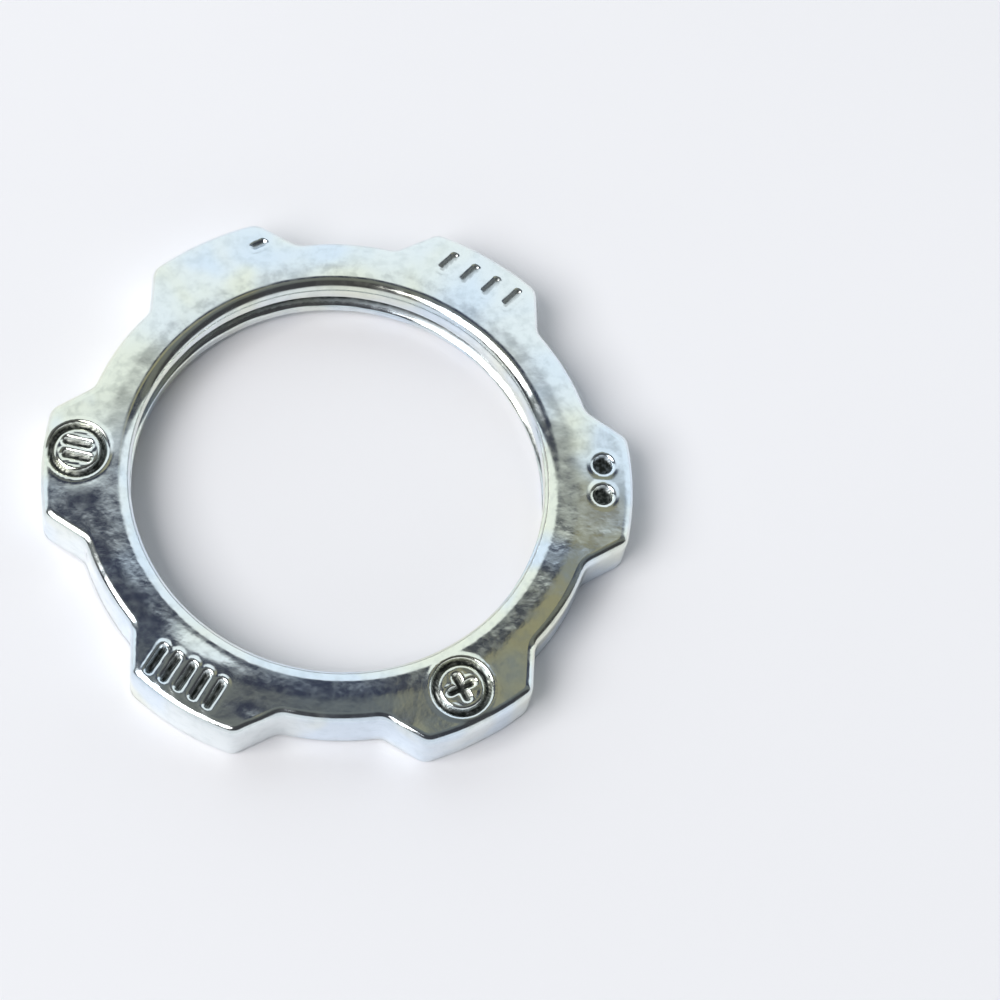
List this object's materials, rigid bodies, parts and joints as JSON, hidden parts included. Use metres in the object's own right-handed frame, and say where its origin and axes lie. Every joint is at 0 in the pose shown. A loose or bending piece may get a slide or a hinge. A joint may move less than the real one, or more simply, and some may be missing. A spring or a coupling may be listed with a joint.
{
  "type": "conduit locknut",
  "caption": "Flat steel locknut with lugs round its rim and a straight-threaded bore, for clamping a conduit fitting to a box wall.",
  "frame": {"origin": "on the bore's axis, in the plane that the six lug tips rest on", "axes": "+Z along the bore, from the biting side to the stamped side; +X through the middle of the lug with two dimples"},
  "size_m": [0.0282, 0.0266, 0.0029],
  "materials": {
    "zinc_plate": "bright zinc plate, slightly mottled"
  },
  "bodies": {
    "root": {"locknut": "zinc_plate"}
  },
  "joints": []
}
